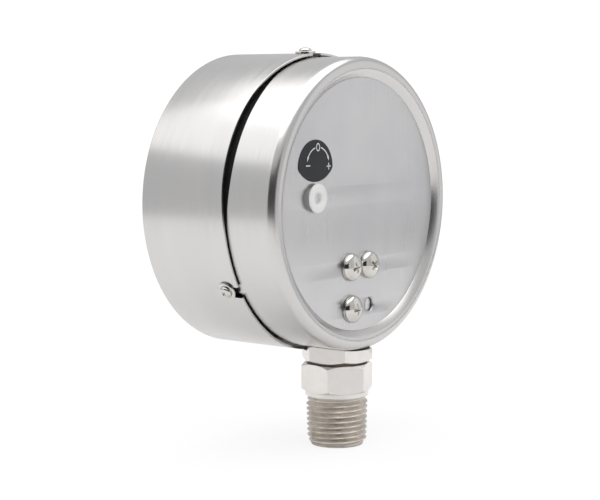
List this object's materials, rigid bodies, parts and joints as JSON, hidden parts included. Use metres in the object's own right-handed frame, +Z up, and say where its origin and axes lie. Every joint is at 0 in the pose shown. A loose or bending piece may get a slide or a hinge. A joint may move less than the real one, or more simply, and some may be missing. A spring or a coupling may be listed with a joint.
{
  "type": "pressure switch",
  "caption": "Dial pressure switch: deep round steel case with adjustable contacts, geared pointer, zero adjuster, hexagon stem with tapered pipe thread and electrical receptacle.",
  "frame": {"origin": "centre of the lower end of the process thread", "axes": "+Z up along the stem to the case, -Y the way the dial faces, +Y the back, +X the right side seen from the dial"},
  "size_m": [0.119, 0.0607, 0.1362],
  "materials": {
    "case_steel": "satin brushed stainless sheet",
    "back_plate_steel": "fine satin stainless sheet",
    "stem_steel": "machined stainless",
    "screw_nickel": "bright nickel plate",
    "black_ring": "moulded black plastic",
    "label_film": "charcoal printed film",
    "white_plastic": "translucent white plastic",
    "seal_fibre": "brown fibre washer",
    "bronze": "drawn bronze tube",
    "movement_brass": "stamped brass",
    "movement_steel": "turned steel",
    "dial_white": "matte white enamel",
    "pointer_black": "matte black paint",
    "low_green": "green paint",
    "high_red": "red paint",
    "contact_silver": "silver contact",
    "window_glass": "flat laminated safety glass",
    "gasket_rubber": "black rubber",
    "key_black": "knurled black plastic",
    "connector_nickel": "nickel-plated brass",
    "insert_black": "moulded insulator",
    "pin_gold": "gold-plated pin"
  },
  "bodies": {
    "case": {"rear_case": "case_steel", "front_housing": "case_steel", "inner_ring": "black_ring", "back_plate": "back_plate_steel", "cover_washer_1": "screw_nickel", "cover_washer_2": "screw_nickel", "cover_washer_3": "screw_nickel", "cover_screw_1": "screw_nickel", "cover_screw_2": "screw_nickel", "cover_screw_3": "screw_nickel", "back_screw_1": "screw_nickel", "back_screw_2": "screw_nickel", "back_screw_3": "screw_nickel", "adjustment_label": "label_film", "socket_block": "stem_steel", "lock_nut": "stem_steel", "neck_seal": "seal_fibre", "process_fitting": "stem_steel", "restrictor_screw": "stem_steel", "bourdon_tube": "bronze", "movement_back_plate": "movement_brass", "movement_front_plate": "movement_brass", "pillar_1": "movement_brass", "pillar_2": "movement_brass", "pillar_3": "movement_brass", "movement_screw_1": "movement_steel", "movement_screw_2": "movement_steel", "hairspring": "movement_brass", "dial": "dial_white", "dial_screw_1": "screw_nickel", "dial_screw_2": "screw_nickel", "contact_bridge": "movement_steel", "bridge_screw_1": "movement_steel", "bridge_screw_2": "movement_steel", "window": "window_glass", "window_gasket": "gasket_rubber", "window_snap_ring": "case_steel", "window_bush": "screw_nickel", "connector_body": "connector_nickel", "connector_seal": "gasket_rubber", "connector_nut": "connector_nickel", "connector_insert": "insert_black", "connector_pin_1": "pin_gold", "connector_pin_2": "pin_gold", "connector_pin_3": "pin_gold", "connector_pin_4": "pin_gold"},
    "sector": {"sector_gear": "movement_brass"},
    "pointer_shaft": {"pinion_arbor": "movement_steel", "pointer": "pointer_black", "moving_contact_arm": "movement_brass"},
    "link": {"link": "movement_steel"},
    "tube_tip": {"tube_end_piece": "bronze"},
    "low_set": {"low_set_arm": "low_green", "low_contact": "contact_silver"},
    "high_set": {"high_set_arm": "high_red", "high_contact": "contact_silver"},
    "key_sleeve": {"key_sleeve": "movement_brass"},
    "adjust_key": {"adjust_key": "key_black"},
    "zero_screw": {"zero_adjust_screw": "movement_steel"},
    "zero_plug": {"zero_plug": "white_plastic"}
  },
  "joints": [
    {"name": "sector_swing", "type": "hinge", "parent": "case", "child": "sector", "pos_m": [0.0085, 0, 0.0651], "axis": [0, -1, 0], "range_deg": [0, 38.57]},
    {"name": "pointer_turn", "type": "hinge", "parent": "case", "child": "pointer_shaft", "pos_m": [0, -0.02, 0.0832], "axis": [0, -1, 0], "range_deg": [-270, 0]},
    {"name": "link_turn", "type": "hinge", "parent": "sector", "child": "link", "pos_m": [0.0103, 0, 0.05938], "axis": [0, -1, 0], "range_deg": [-38.57, 0]},
    {"name": "tube_tip_travel", "type": "slide", "parent": "case", "child": "tube_tip", "axis": [0.8009, 0, 0.5988], "range_m": [0, 0.00396], "deforming": ["bourdon_tube"]},
    {"name": "low_set_turn", "type": "hinge", "parent": "case", "child": "low_set", "pos_m": [0, -0.02, 0.0832], "axis": [0, -1, 0], "range_deg": [-200, 60]},
    {"name": "high_set_turn", "type": "hinge", "parent": "case", "child": "high_set", "pos_m": [0, -0.02, 0.0832], "axis": [0, -1, 0], "range_deg": [-80, 180]},
    {"name": "key_push", "type": "slide", "parent": "case", "child": "key_sleeve", "axis": [0, 1, 0], "range_m": [0, 0.0008], "stiffness_N_per_m": 600},
    {"name": "key_turn", "type": "hinge", "parent": "key_sleeve", "child": "adjust_key", "pos_m": [0, -0.045, 0.0832], "axis": [0, -1, 0], "continuous": true},
    {"name": "zero_screw_turn", "type": "hinge", "parent": "case", "child": "zero_screw", "pos_m": [0.026, 0.006, 0.0868], "axis": [0, 1, 0], "range_deg": [-180, 180]},
    {"name": "zero_plug_pull", "type": "slide", "parent": "case", "child": "zero_plug", "axis": [0, 1, 0], "range_m": [0, 0.006]}
  ],
  "couplings": [
    {"joint": "sector_swing", "follows": "tube_tip_travel", "rad_per_m": 169.85},
    {"joint": "pointer_turn", "follows": "tube_tip_travel", "rad_per_m": -1188.9},
    {"joint": "link_turn", "follows": "tube_tip_travel", "rad_per_m": -169.85}
  ]
}
